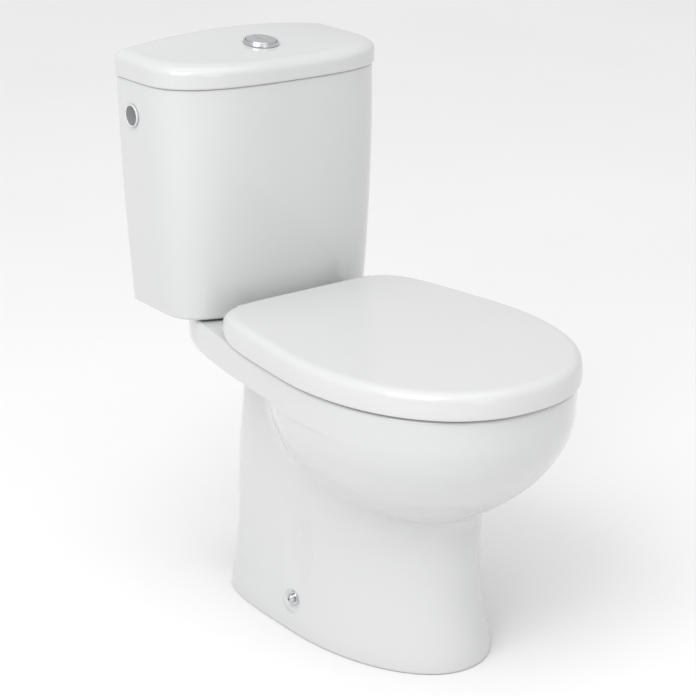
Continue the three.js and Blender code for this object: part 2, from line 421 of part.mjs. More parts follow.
// flush valve, standing in the middle of the tank floor
const valve = new THREE.Group();
valve.position.set(0, WALL - VALVE_D, 0);
toilet.add(valve);
put('flush_valve_body', cut(turned([[22, 383], [27.6, 383], [27.6, TANK_FLOOR + GAP], [36, TANK_FLOOR + GAP], [36, 415], [32, 416], [32, 640], [29.5, 640], [29.5, 417], [22, 415.6], [22, 383]], 16),
  new THREE.BoxGeometry(24, 100, 90).translate(0, 0, 470), new THREE.BoxGeometry(100, 24, 90).translate(0, 0, 470)), white(), valve);
put('flush_valve_head', turned([[15, 640.3], [33, 640.3], [33, 690], [28, 696], [15, 696], [15, 640.3]], 16), blue(), valve);
put('flush_valve_tube', turned([[11, 419.5], [26, 419.5], [26, 422.5], [14, 424], [14, 668], [11, 668], [11, 419.5]], 14), white(), valve);
put('flush_valve_seal', ring(15, 27.5, 416.9, 419.2, 16), rubber(), valve);
put('flush_valve_back_nut', ring(28.4, 35.5, 385.5, 397.6, 16), white(), valve);
put('tank_gasket', ring(37.2, 45.6, 379.3, 397.6, 20), rubber(), valve);

// fill valve with its side inlet through the tank's right wall
const fill = new THREE.Group();
fill.position.set(FILL_X, WALL - SIDE_D, 0);
toilet.add(fill);
put('fill_valve_body', turned([[0, 425], [8, 425], [8, 602], [15, 606], [15, 690], [17, 691], [17, 702], [13, 706], [0, 706]], 14), white(), fill);
put('fill_valve_float', turned([[8.9, 470], [28, 470], [30, 473], [30, 530], [28, 533], [8.9, 533], [8.9, 470]], 14), blue(), fill);
const inlet = new THREE.Group();
inlet.position.set(0, WALL - SIDE_D, SIDE_Z);
inlet.rotation.y = Math.PI / 2;
toilet.add(inlet);
put('inlet_tail', turned([[6, 141.6], [9, 141.6], [9, 159], [15, 159], [15, 164.6], [10, 164.8], [10, 190.7], [9.3, 191.5], [6, 191.5], [6, 141.6]], 14), brass(), inlet);
put('inlet_back_nut', cut(turned([[0, 176.9], [16, 176.9], [16, 184.5], [0, 184.5]], 6), turned([[0, 170], [10.5, 170], [10.5, 190], [0, 190]], 14)), brass(), inlet);

// plug that closes the spare side hole on the left
const plug = new THREE.Group();
plug.position.set(0, WALL - SIDE_D, SIDE_Z);
plug.rotation.y = -Math.PI / 2;
toilet.add(plug);
put('side_plug_disc', turned([[0, 158], [11.5, 158], [11.5, 160], [10, 162], [10, 176.2], [12.3, 176.2], [12.3, 177.7], [11.6, 178.1], [0, 178.4]], 18), steel(), plug);
put('side_plug_ring', turned([[12.7, 176.2], [15, 176.2], [15, 178], [14.2, 179], [13.2, 179], [12.7, 178.4], [12.7, 176.2]], 18), white(), plug);

export default toilet;
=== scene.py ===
import bpy, bmesh, json, math
import numpy as np
from mathutils import Matrix, Vector


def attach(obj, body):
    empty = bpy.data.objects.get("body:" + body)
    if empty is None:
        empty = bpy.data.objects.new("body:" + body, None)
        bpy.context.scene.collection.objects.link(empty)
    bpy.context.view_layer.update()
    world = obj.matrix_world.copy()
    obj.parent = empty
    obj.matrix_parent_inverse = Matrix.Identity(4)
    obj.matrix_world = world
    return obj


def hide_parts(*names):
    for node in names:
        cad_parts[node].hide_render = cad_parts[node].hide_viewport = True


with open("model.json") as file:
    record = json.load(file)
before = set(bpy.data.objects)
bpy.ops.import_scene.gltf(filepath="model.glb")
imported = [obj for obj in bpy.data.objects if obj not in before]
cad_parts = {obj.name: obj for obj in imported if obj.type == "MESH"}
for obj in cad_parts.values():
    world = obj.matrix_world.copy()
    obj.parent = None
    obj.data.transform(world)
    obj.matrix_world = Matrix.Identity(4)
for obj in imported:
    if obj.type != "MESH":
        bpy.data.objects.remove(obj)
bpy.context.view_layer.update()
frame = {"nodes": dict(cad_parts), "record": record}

MM = 0.001

# ------------------------------------------------------------------ dimensions, millimetres (d = distance in front of the wall)
WALL, PAN_TOP, SHELF_BOTTOM, SHELF_REAR = 337.0, 395.0, 350.0, 46.0
RIM = dict(a=178.5, b=237.0, c=426.0, n=2.2)
HINGE_D, HINGE_Z, BARREL_R, BARREL_IN, HINGE_X = 205.0, 413.6, 17.2, 14.3, 77.5
COVER_UNDER, RING_BOTTOM, RING_TOP, RING_REAR = 426.3, 399.0, 421.5, 224.0
BUTTON_D, LID_TILT, LID_SEAM, LID_GROW, LID_T = 102.0, math.atan(0.137), 716.8, 2.4, 10.0
OUTLET_Z, OUTLET_D, OUTLET_R, OUTLET_BORE, TRAP_R, TRAP_BORE = 187.0, 130.0, 50.0, 41.0, 45.0, 34.0
VALVE_D, BOLT_X, SIDE_D, SIDE_Z, FIX_D, FIX_Z = 102.0, 75.0, 53.0, 670.0, 325.0, 46.0
FLUTE_D, FLUTE_Z, FLUTE_W, FLUTE_H, FLUTE_DEPTH = 327.0, 116.0, 33.0, 70.0, 4.4
PEDESTAL = [[0, 124.5, 557, 126], [12, 123.5, 556, 127], [45, 117.5, 550, 131], [100, 109, 543, 130], [150, 105, 542, 126],
            [200, 103, 542, 127], [250, 102, 543, 134], [300, 104, 546, 145], [345, 107, 550, 150], [400, 107, 550, 150]]
PED_C, PED_N = 330.0, (2.05, 4.0)
BOWL = [[190, 40, 506, 400], [202, 66, 530, 360], [214, 86, 552, 330], [228, 106, 573, 308], [246, 127, 596, 290],
        [270, 146.5, 621, 275], [298, 162.5, 642, 262], [328, 173.5, 656.5, 252], [352, 177, 661.5, 249], [372, 177.8, 662.3, 247], [395, 178.5, 663, 246]]
BOWL_C, BOWL_N = 440.0, (2.2, 2.4)
BOWL_IN = [[398, 136, 616, 345], [376, 137, 617, 345], [368, 146, 627, 338], [335, 150, 633, 332], [300, 143, 621, 332],
           [262, 122, 593, 335], [234, 97, 561, 340], [208, 70, 526, 346], [180, 54, 494, 353], [140, 42, 462, 361], [112, 32, 438, 372]]

# ------------------------------------------------------------------ section curves
def table(T, z, c):
    T = np.asarray(T, float)
    if T[0, 0] > T[-1, 0]:
        T = T[::-1]
    zs, v = T[:, 0], T[:, c]
    s = np.diff(v) / np.diff(zs)
    m = np.zeros(len(zs)); m[0], m[-1] = s[0], s[-1]
    for i in range(1, len(zs) - 1):
        m[i] = 0 if s[i - 1] * s[i] <= 0 else 2 * s[i - 1] * s[i] / (s[i - 1] + s[i])
    z = np.clip(z, zs[0], zs[-1]); i = np.clip(np.searchsorted(zs, z, side="right") - 1, 0, len(zs) - 2)
    h = zs[i + 1] - zs[i]; t = (z - zs[i]) / h
    return (2*t**3 - 3*t*t + 1) * v[i] + (t**3 - 2*t*t + t) * h * m[i] + (-2*t**3 + 3*t*t) * v[i + 1] + (t**3 - t*t) * h * m[i + 1]

def smin(a, b, k):
    h = np.clip(0.5 + 0.5 * (b - a) / k, 0, 1)
    return b * (1 - h) + a * h - k * h * (1 - h)
def smax(a, b, k):
    return -smin(-a, -b, k)
def section(T, c, n, x, d, z):
    a, bf, bb = table(T, z, 1), table(T, z, 2) - c, c - table(T, z, 3)
    u = d - c; r = np.hypot(x, u) + 1e-9
    e = np.where(u > 0, n[0], n[1]); b = np.where(u > 0, bf, bb)
    rho = ((np.abs(x) / a) ** e + (np.abs(u) / b) ** e) ** (1 / e)
    return r - r / np.maximum(rho, 1e-9)
def sloped(T, c, n, x, d, z):
    zc = np.maximum(z, T[0][0] + 2)
    s = (section(T, c, n, x, d, zc + 2) - section(T, c, n, x, d, zc - 2)) / 4
    return section(T, c, n, x, d, z) / np.sqrt(1 + s * s)
_RIM_TH = np.linspace(-math.pi, math.pi, 4097)
def _rim_table():
    lo = np.zeros_like(_RIM_TH); hi = np.full_like(_RIM_TH, 700.0)
    sx, cu, L = np.abs(np.sin(_RIM_TH)), np.cos(_RIM_TH), RIM["c"] - SHELF_REAR
    for _ in range(40):
        m = (lo + hi) / 2; X, U = sx * m, cu * m; k = np.maximum(-U, 0)
        front = (X / RIM["a"]) ** RIM["n"] + (np.abs(U) / RIM["b"]) ** RIM["n"] < 1
        rear = (k < L) & (X < (RIM["a"] - 14 * (k / 137) ** 1.3) * np.maximum(1 - np.minimum(k / L, 1) ** 6, 0) ** (1 / 6))
        inside = np.where(U > 0, front, rear)
        lo = np.where(inside, m, lo); hi = np.where(inside, hi, m)
    return (lo + hi) / 2
_RIM_R = _rim_table()
def rim_edge(x, d):
    u = d - RIM["c"]
    return np.hypot(x, u) - np.interp(np.arctan2(x, u), _RIM_TH, _RIM_R)
def shelf(x, d, z):
    t = np.clip((d - 325) / 95, 0, 1)      # the band runs out into the bowl
    return smax(rim_edge(x, d) + 0.04 * (PAN_TOP - z) + 13 * t * t * (3 - 2 * t), SHELF_BOTTOM - z, 9)
def pan_field(x, d, z):
    ped = sloped(PEDESTAL, PED_C, PED_N, x, d, z)
    bwl = smax(sloped(BOWL, BOWL_C, BOWL_N, x, d, z), BOWL[0][0] - z, 6)
    t = np.clip((d - 400) / 140, 0, 1)
    f = smin(smin(ped, bwl, 50 - 30 * t * t * (3 - 2 * t)), shelf(x, d, z), 10)
    # a shallow flute down each side of the pedestal, over the side screw
    q = np.clip(1 - ((d - FLUTE_D) / FLUTE_W) ** 2 - ((z - FLUTE_Z) / FLUTE_H) ** 2, 0, 1)
    f = f + np.where(np.abs(x) > 50, FLUTE_DEPTH * q * q * (3 - 2 * q), 0)
    return smax(f, z - PAN_TOP, 7)
PAN_C = 400.0
def pan_radius(th, z):
    ux, ud = np.sin(th), np.cos(th)
    rr = np.linspace(420, 20, 201)[:, None]
    F = pan_field(ux * rr, PAN_C + ud * rr, np.full((201, len(th)), float(z)))
    k = np.argmax(F < 0, axis=0)
    hi, lo = rr[np.maximum(k - 1, 0), 0], rr[k, 0]
    for _ in range(20):
        m = (lo + hi) / 2
        f = pan_field(ux * m, PAN_C + ud * m, np.full(len(th), float(z)))
        lo = np.where(f < 0, m, lo); hi = np.where(f < 0, hi, m)
    return (lo + hi) / 2
def directions(N):
    K = 1440; th = np.arange(K) * 2 * math.pi / K
    w = 0
    for z, share in ((372, 0.3), (60, 0.2), (310, 0.25), (260, 0.25)):
        r = pan_radius(th, z); p = np.c_[r * np.sin(th), r * np.cos(th)]
        l = np.hypot(*(np.roll(p, -1, 0) - p).T); w = w + share * l / l.sum()
    cum = np.r_[0, np.cumsum(w)]
    return np.interp(np.arange(N) / N, cum, np.arange(K + 1) * 2 * math.pi / K)
def super_ring(a, c, df, db, n, z, N):
    t = 2 * math.pi * np.arange(N) / N; s, q = np.sin(t), np.cos(t)
    e = 2 / np.where(q > 0, n[0], n[1])
    return np.c_[a * np.sign(s) * np.abs(s) ** e, c + np.where(q > 0, df - c, c - db) * np.sign(q) * np.abs(q) ** e, np.full(N, float(z))]

# ------------------------------------------------------------------ mesh code
def new_object(name, verts, faces, material=None, angle=35):
    me = bpy.data.meshes.new(name)
    me.from_pydata([tuple(map(float, v)) for v in verts], [], [tuple(map(int, f)) for f in faces])
    me.validate(); me.update()
    ob = bpy.data.objects.new(name, me)
    bpy.context.scene.collection.objects.link(ob)
    if material:
        me.materials.append(material)
    shade(ob, angle)
    return ob
def shade(ob, angle=35):
    ob.data.shade_smooth()
    ob.data.set_sharp_from_angle(angle=math.radians(angle))
def to_m(P):
    P = np.asarray(P, float)
    return np.stack([P[..., 0], WALL - P[..., 1], P[..., 2]], -1) * MM
def loft(name, rings, material=None, low=None, high=None, angle=35):
    """closed skin through rings of [x, d, z]; each end is closed by a fan"""
    R = np.asarray(rings, float); M, N = R.shape[:2]
    b = R[M // 2]; nx = np.roll(b, -1, 0)
    if np.sum(b[:, 0] * -nx[:, 1] - nx[:, 0] * -b[:, 1]) < 0:
        R = R[:, ::-1]
    V = to_m(R).reshape(-1, 3)
    lo = to_m(np.array(low if low is not None else R[0].mean(0)))
    hi = to_m(np.array(high if high is not None else R[-1].mean(0)))
    V = np.vstack([V, lo, hi])
    i = np.arange(N); j = (i + 1) % N; F = []
    for k in range(M - 1):
        F += np.c_[k * N + i, k * N + j, (k + 1) * N + j, (k + 1) * N + i].tolist()
    F += [(M * N, int(b_), int(a_)) for a_, b_ in zip(i, j)]
    F += [(M * N + 1, (M - 1) * N + int(a_), (M - 1) * N + int(b_)) for a_, b_ in zip(i, j)]
    return new_object(name, V, F, material, angle)
def turned(name, prof, material=None, seg=72, matrix=None, angle=30, bevel=0.0):
    """a closed turned piece from [r, h] points about local Z, millimetres; corners eased by bevel"""
    P = [np.array(p, float) for p in prof]
    if bevel > 0:
        Q = []
        n = len(P)
        closed_ = P[0][0] > 1e-6
        if closed_ and np.allclose(P[0], P[-1]):
            P = P[:-1]; n -= 1
        for i, p in enumerate(P):
            if not closed_ and i in (0, n - 1):
                Q.append(p); continue
            a, c = P[i - 1] - p, P[(i + 1) % n] - p
            la, lc = np.linalg.norm(a), np.linalg.norm(c)
            b = min(bevel, la * 0.4, lc * 0.4)
            a, c = a / la, c / lc
            if abs(np.dot(a, c)) > 0.995 and np.dot(a, c) < 0:
                Q.append(p); continue
            A, C = p + a * b, p + c * b
            for t in (0, 0.25, 0.5, 0.75, 1):
                Q.append((1 - t) ** 2 * A + 2 * t * (1 - t) * p + t * t * C)
        P = Q + ([Q[0]] if closed_ else [])
    closed_ = P[0][0] > 1e-6
    pts = P[:-1] if closed_ else P
    V, idx = [], []
    for r, h in pts:
        if r < 1e-6:
            idx.append([len(V)] * seg); V.append((0, 0, h * MM))
        else:
            idx.append(list(range(len(V), len(V) + seg)))
            V += [(r * MM * math.cos(2 * math.pi * k / seg), r * MM * math.sin(2 * math.pi * k / seg), h * MM) for k in range(seg)]
    F = []
    n = len(pts)
    for i in range(n if closed_ else n - 1):
        a, b = idx[i], idx[(i + 1) % n]
        for k in range(seg):
            l = (k + 1) % seg
            f = [a[k], a[l], b[l], b[k]]
            g = []
            for q in f:
                if q not in g:
                    g.append(q)
            if len(g) > 2:
                F.append(g)
    ob = new_object(name, V, F, material, angle)
    fix_normals(ob)
    if matrix is not None:
        ob.data.transform(matrix)
    shade(ob, angle)
    return ob
def fix_normals(ob):
    bm = bmesh.new(); bm.from_mesh(ob.data)
    bmesh.ops.recalc_face_normals(bm, faces=bm.faces)
    if bm.calc_volume(signed=True) < 0:
        bmesh.ops.reverse_faces(bm, faces=bm.faces)
    bm.to_mesh(ob.data); bm.free()
def at(x, d, z, rot=None):
    m = Matrix.Translation((x * MM, (WALL - d) * MM, z * MM))
    return m @ rot if rot is not None else m
ROT_X = Matrix.Rotation(math.pi / 2, 4, "Y")        # local Z to +X
ROT_NX = Matrix.Rotation(-math.pi / 2, 4, "Y")      # local Z to -X
ROT_Y = Matrix.Rotation(-math.pi / 2, 4, "X")       # local Z to +Y
def cyl_x(name, r, x0, x1, d, z, material=None, seg=64):
    return turned(name, [[0, x0], [r, x0], [r, x1], [0, x1]], material, seg, at(0, d, z, ROT_X))
def cyl_z(name, r, x, d, z0, z1, material=None, seg=64):
    return turned(name, [[0, z0], [r, z0], [r, z1], [0, z1]], material, seg, at(x, d, 0))
def cyl_y(name, r, d0, d1, x, z, material=None, seg=96):
    return turned(name, [[0, 0], [r, 0], [r, d1 - d0], [0, d1 - d0]], material, seg, at(x, d1, z, ROT_Y))
def box(name, x0, x1, d0, d1, z0, z1, material=None):
    x0, x1 = min(x0, x1), max(x0, x1)
    c = [(x, d, z) for z in (z0, z1) for d in (d1, d0) for x in (x0, x1)]
    ob = new_object(name, to_m(np.array(c)), [(0, 2, 3, 1), (4, 5, 7, 6), (0, 1, 5, 4), (2, 6, 7, 3), (0, 4, 6, 2), (1, 3, 7, 5)], material)
    fix_normals(ob)
    return ob
def boolean(ob, others, op, solver="MANIFOLD"):
    for o in others:
        m = ob.modifiers.new("cut", "BOOLEAN")
        m.operation = op; m.object = o; m.solver = solver
        try:
            m.material_mode = "TRANSFER"
        except Exception:
            pass
    dg = bpy.context.evaluated_depsgraph_get(); dg.update()
    me = bpy.data.meshes.new_from_object(ob.evaluated_get(dg), depsgraph=dg)
    ob.modifiers.clear()
    old = ob.data; ob.data = me; bpy.data.meshes.remove(old)
    for o in others:
        m = o.data; bpy.data.objects.remove(o); bpy.data.meshes.remove(m)
    return ob
def ease(ob, width, segments=2, angle=40):
    """rounds the sharp edges that cuts leave"""
    m = ob.modifiers.new("ease", "BEVEL")
    m.width = width * MM; m.segments = segments; m.limit_method = "ANGLE"; m.angle_limit = math.radians(angle); m.harden_normals = False
    return ob
def weight(ob):
    m = ob.modifiers.new("weighted", "WEIGHTED_NORMAL"); m.keep_sharp = True; m.weight = 60
    return ob

# ------------------------------------------------------------------ materials
def material(name, build):
    m = bpy.data.materials.new(name); m.use_nodes = True
    nt = m.node_tree; nt.nodes.clear()
    out = nt.nodes.new("ShaderNodeOutputMaterial"); b = nt.nodes.new("ShaderNodeBsdfPrincipled")
    nt.links.new(b.outputs[0], out.inputs[0])
    build(nt, b)
    return m
def noise(nt, scale, detail=4, rough=0.55, coord="Object", stretch=None, seed=0.0):
    tc = nt.nodes.new("ShaderNodeTexCoord"); mp = nt.nodes.new("ShaderNodeMapping")
    nt.links.new(tc.outputs[coord], mp.inputs[0])
    mp.inputs["Location"].default_value = (seed, seed * 0.7, -seed)
    if stretch:
        mp.inputs["Scale"].default_value = stretch
    n = nt.nodes.new("ShaderNodeTexNoise"); n.inputs["Scale"].default_value = scale
    n.inputs["Detail"].default_value = detail; n.inputs["Roughness"].default_value = rough
    nt.links.new(mp.outputs[0], n.inputs["Vector"])
    return n.outputs["Fac"]
def ramp(nt, fac, stops):
    r = nt.nodes.new("ShaderNodeValToRGB"); e = r.color_ramp.elements
    while len(e) < len(stops):
        e.new(0.5)
    for q, (p, c) in zip(e, stops):
        q.position = p; q.color = c if len(c) == 4 else (*c, 1)
    nt.links.new(fac, r.inputs[0])
    return r.outputs[0]
def span(nt, fac, lo, hi, a=0.3, b=0.7):
    m = nt.nodes.new("ShaderNodeMapRange")
    m.inputs["From Min"].default_value, m.inputs["From Max"].default_value = a, b
    m.inputs["To Min"].default_value, m.inputs["To Max"].default_value = lo, hi
    nt.links.new(fac, m.inputs["Value"])
    return m.outputs[0]
def bump(nt, heights, b):
    prev = None
    for fac, strength, dist in heights:
        n = nt.nodes.new("ShaderNodeBump"); n.inputs["Strength"].default_value = strength; n.inputs["Distance"].default_value = dist
        nt.links.new(fac, n.inputs["Height"])
        if prev:
            nt.links.new(prev, n.inputs["Normal"])
        prev = n.outputs[0]
    nt.links.new(prev, b.inputs["Normal"])
def shades(c, k):
    return [(0.3, tuple(v * (1 - k) for v in c)), (0.7, tuple(min(1, v * (1 + k)) for v in c))]

def build_china(nt, b):
    c = noise(nt, 3.0, 3, seed=1.3)
    nt.links.new(ramp(nt, c, [(0.3, (0.610, 0.616, 0.617)), (0.5, (0.621, 0.626, 0.626)), (0.7, (0.630, 0.633, 0.631))]), b.inputs["Base Color"])
    nt.links.new(span(nt, noise(nt, 9.0, 5, seed=4.1), 0.10, 0.17), b.inputs["Roughness"])
    b.inputs["IOR"].default_value = 1.5
    b.inputs["Coat Weight"].default_value = 0.55; b.inputs["Coat Roughness"].default_value = 0.03; b.inputs["Coat IOR"].default_value = 1.5
    b.inputs["Subsurface Weight"].default_value = 0.04; b.inputs["Subsurface Radius"].default_value = (0.004, 0.004, 0.004); b.inputs["Subsurface Scale"].default_value = 0.5
    bump(nt, [(noise(nt, 7.0, 2, 0.4, seed=2.0), 0.10, 0.0016), (noise(nt, 160.0, 2, 0.5, seed=7.0), 0.05, 0.00008)], b)
def build_bisque(nt, b):
    nt.links.new(ramp(nt, noise(nt, 14.0, 6, seed=3.0), [(0.3, (0.60, 0.59, 0.56)), (0.7, (0.72, 0.71, 0.68))]), b.inputs["Base Color"])
    nt.links.new(span(nt, noise(nt, 40.0, 4, seed=5.0), 0.5, 0.75), b.inputs["Roughness"])
    bump(nt, [(noise(nt, 30.0, 5, 0.6, seed=6.0), 0.35, 0.001), (noise(nt, 500.0, 3, 0.6), 0.25, 0.0002)], b)
def build_seat(nt, b):
    nt.links.new(ramp(nt, noise(nt, 4.0, 3, seed=11.0), [(0.3, (0.630, 0.633, 0.635)), (0.7, (0.643, 0.644, 0.645))]), b.inputs["Base Color"])
    nt.links.new(span(nt, noise(nt, 18.0, 6, seed=12.0), 0.16, 0.24), b.inputs["Roughness"])
    b.inputs["IOR"].default_value = 1.49
    b.inputs["Coat Weight"].default_value = 0.25; b.inputs["Coat Roughness"].default_value = 0.06
    bump(nt, [(noise(nt, 6.0, 2, 0.4, seed=13.0), 0.05, 0.001), (noise(nt, 420.0, 3, 0.55, seed=14.0), 0.06, 0.00005)], b)
def metal(color, r0, r1, scale=60.0, grain=None, bumps=0.08):
    def build(nt, b):
        b.inputs["Metallic"].default_value = 1.0
        nt.links.new(ramp(nt, noise(nt, scale * 0.4, 4, seed=21.0), shades(color, 0.04)), b.inputs["Base Color"])
        nt.links.new(span(nt, noise(nt, scale, 6, 0.65, stretch=grain, seed=22.0), r0, r1), b.inputs["Roughness"])
        bump(nt, [(noise(nt, scale * 6, 3, 0.6, stretch=grain, seed=23.0), bumps, 0.00005)], b)
    return build
def plastic(color, r0, r1, grain=900.0, strength=0.15):
    def build(nt, b):
        nt.links.new(ramp(nt, noise(nt, 25.0, 4, seed=31.0), shades(color, 0.035)), b.inputs["Base Color"])
        nt.links.new(span(nt, noise(nt, 90.0, 5, seed=32.0), r0, r1), b.inputs["Roughness"])
        bump(nt, [(noise(nt, grain, 3, 0.6, seed=33.0), strength, 0.00008)], b)
    return build
MAT = {
    "vitreous_china": material("china_glaze", build_china),
    "bisque": material("china_unglazed", build_bisque),
    "seat_plastic": material("seat_thermoset", build_seat),
    "chrome": material("chrome_plate", metal((0.62, 0.63, 0.64), 0.05, 0.11, 40.0)),
    "plug": material("dark_steel", metal((0.26, 0.265, 0.27), 0.16, 0.26, 60.0)),
    "steel": material("satin_steel", metal((0.50, 0.51, 0.52), 0.22, 0.36, 80.0, (1, 1, 12), 0.2)),
    "brass": material("machined_brass", metal((0.72, 0.55, 0.27), 0.22, 0.38, 90.0, (1, 1, 10), 0.2)),
    "white_plastic": material("moulded_white", plastic((0.72, 0.73, 0.73), 0.32, 0.46)),
    "grey_plastic": material("moulded_grey", plastic((0.25, 0.26, 0.27), 0.35, 0.5)),
    "blue_plastic": material("moulded_blue", plastic((0.25, 0.40, 0.52), 0.32, 0.46)),
    "rubber": material("black_rubber", plastic((0.022, 0.022, 0.024), 0.6, 0.8, 500.0, 0.3)),
}
slots = {s["node"]: s["material_slot"] for s in frame["record"]["subparts"]}
body_of = {n: b for b, ns in frame["record"]["behaviour"]["bodies"].items() for n in ns}
for n, o in frame["nodes"].items():
    o.data.materials.clear()
    o.data.materials.append(MAT[slots[n]])

def stands_for(ob, *nodes):
    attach(ob, body_of[nodes[0]])
    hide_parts(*nodes)
    return ob

# ------------------------------------------------------------------ pan
china, bisque = MAT["vitreous_china"], MAT["bisque"]
def make_pan():
    th = directions(384)
    lv = [0.0, 1.5, 4, 8]
    lv += list(np.arange(14, 170, 5.0)) + list(np.arange(171, 343.5, 1.75)) + [344, 346, 347.5, 349, 349.9]
    lv += [350.05, 350.5, 351.2, 352.2, 353.6, 355.4, 357.5, 360, 364, 370, 376, 382, 386] + [395 - 7 * (1 - math.sin(q)) for q in np.linspace(0.15, 1.48, 9)]
    rings = []
    R = np.array([pan_radius(th, z) for z in lv]); zz = np.array(lv)[:, None]
    # the fold between bowl and pedestal is eased, below the rim's band only
    share = np.clip((zz - 120) / 60, 0, 1) * np.clip((349.5 - zz) / 8, 0, 1)
    share = share * share * (3 - 2 * share)
    front = np.clip((520 - (PAN_C + R * np.cos(th))) / 110, 0, 1)
    share = share * front * front * (3 - 2 * front)
    low = zz[:, 0] <= 347
    step = np.gradient(zz[:, 0]) * low
    for sigma in (15.0, 12.0):
        W = np.exp(-0.5 * ((zz - zz.T) / sigma) ** 2) * step[None, :]
        W = W / W.sum(1)[:, None]
        R = R * (1 - share) + (W @ R) * share
    around = share * np.clip((PAN_C + R * np.cos(th) - 185) / 45, 0, 1)
    for i in range(30):
        S = (np.roll(R, 1, 1) + 2 * R + np.roll(R, -1, 1)) / 4
        R = R * (1 - around) + S * around
    for z, r in zip(lv, R):
        if z < 4:      # the foot's lower edge is eased
            r = r - (2.5 - math.sqrt(max(6.25 - max(2.5 - z, 0) ** 2, 0)))
        rings.append(np.c_[r * np.sin(th), PAN_C + r * np.cos(th), np.full(len(th), z)])
    u = rings[-1].copy(); d_ = u[:, 1] - PAN_C; rr = np.hypot(u[:, 0], d_); k = (rr - 1.0) / rr
    rings.append(np.c_[u[:, 0] * k, PAN_C + d_ * k, np.full(len(th), PAN_TOP)])
    pan = loft("pan_china", rings, china)
    # hollow pedestal with a rear arch, the bowl's and the trap's own walls kept
    def ped(z, N=120):
        return super_ring(float(table(PEDESTAL, z, 1)) - 13, PED_C, float(table(PEDESTAL, z, 2)) - 13, float(table(PEDESTAL, z, 3)) + 13, PED_N, z, N)
    cavity = loft("cavity", [ped(z) for z in (-3, 10, 30, 60, 100, 140, 190, 230, 270, 310, 334)] + [super_ring(90, PED_C, 533, 167, PED_N, 338, 120)], bisque)
    pts = [(-72, -3), (72, -3), (72, 225)] + [(72 * math.cos(a), 225 + 72 * math.sin(a)) for a in np.linspace(0, math.pi, 33)[1:-1]] + [(-72, 225)]
    n = len(pts)
    V = [(x * MM, (WALL - dd) * MM, z * MM) for dd in (75, 185) for x, z in pts]
    F = [tuple(range(n)), tuple(range(2 * n - 1, n - 1, -1))] + [(i, (i + 1) % n, n + (i + 1) % n, n + i) for i in range(n)]
    door = new_object("doorway", V, F, china); fix_normals(door)
    zs = [398, 392, 386, 381, 377, 374, 371, 368, 364, 356, 346, 335, 322, 308, 294, 280, 266, 252, 240, 228, 216, 204, 192, 180, 166, 152, 140, 128, 118, 112]
    def bowl_ring(z, grow, drop=0.0):
        a, f, b = (float(table(BOWL_IN, z, c)) for c in (1, 2, 3))
        return super_ring(a + grow, 430, f + grow, b - grow, (2.2, 2.3), z - drop, 160)
    inner = loft("bowl_inside", [bowl_ring(112, -12, 6)] + [bowl_ring(z, 0) for z in zs[::-1]], china)
    around = loft("bowl_wall", [bowl_ring(112, 0, 16)] + [bowl_ring(z, 12, 12 if z == 112 else 0) for z in zs[::-1]], bisque)
    way = catmull([[440, 165], [432, 128], [412, 103], [380, 90], [345, 92], [305, 118], [272, 153], [236, 180], [195, OUTLET_Z], [OUTLET_D + 20, OUTLET_Z]], 12)
    def tube(name, r, mat):
        P = np.array([(0, (WALL - a) * MM, b * MM) for a, b in way]); T = np.gradient(P, axis=0); T /= np.linalg.norm(T, axis=1)[:, None]
        S = 40; V = []
        for p, t in zip(P, T):
            nrm = np.array([0, -t[2], t[1]])
            V += [tuple(p + r * MM * (math.cos(2 * math.pi * k / S) * np.array([1, 0, 0]) + math.sin(2 * math.pi * k / S) * nrm)) for k in range(S)]
        m = len(P)
        F = [(i * S + k, i * S + (k + 1) % S, (i + 1) * S + (k + 1) % S, (i + 1) * S + k) for i in range(m - 1) for k in range(S)]
        F += [tuple(range(S))[::-1], tuple(range((m - 1) * S, m * S))]
        o = new_object(name, V, F, mat); fix_normals(o)
        return o
    boolean(cavity, [door], "UNION")
    boolean(cavity, [around, tube("trap", TRAP_R, bisque), cyl_y("spigot_keep", OUTLET_R, OUTLET_D, 195, 0, OUTLET_Z, bisque)], "DIFFERENCE")
    boolean(pan, [cavity], "DIFFERENCE")
    boolean(pan, [turned("spigot", [[0, 0], [OUTLET_R - 2, 0], [OUTLET_R, 2], [OUTLET_R, 14], [OUTLET_R - 1, 16], [OUTLET_R - 1, 65], [0, 65]][::1], china, 96, at(0, OUTLET_D, OUTLET_Z, Matrix.Rotation(math.pi / 2, 4, "X")))], "UNION")
    tools = [inner, tube("trap_bore", TRAP_BORE, china), cyl_y("outlet_bore", OUTLET_BORE, OUTLET_D - 5, 182, 0, OUTLET_Z, china),
             cyl_z("inlet_recess", 46.6, 0, VALVE_D, 379, 400, china), cyl_z("inlet_hole", 29, 0, VALVE_D, 357, 381, china), box("channel", -24, 24, VALVE_D, 350, 357, 377, china)]
    for s in (-1, 1):
        tools += [cyl_z("bolt_hole", 7, s * BOLT_X, VALVE_D, 330, 400, bisque, 32), cyl_z("bolt_face", 15, s * BOLT_X, VALVE_D, 330, 349.9, bisque, 40),
                  cyl_z("hinge_hole", 6, s * HINGE_X, HINGE_D, 325, 400, bisque, 32), cyl_z("hinge_pocket", 15, s * HINGE_X, HINGE_D, 300, 338, bisque, 40)]
        m = at(s * 99, FIX_D, FIX_Z, ROT_X if s > 0 else ROT_NX)
        # countersunk recess with a soft lip for the side screw
        tools.append(turned("screw_recess", [[0, -14], [5, -14], [5, 15.5], [12.4, 15.5], [13.6, 15.8], [14.6, 16.6], [15.6, 17.5], [17.2, 18.3], [20.5, 19.2], [20.5, 40], [0, 40]], china, 72, m))
    boolean(pan, tools, "DIFFERENCE")
    fix_pan(pan)
    return pan
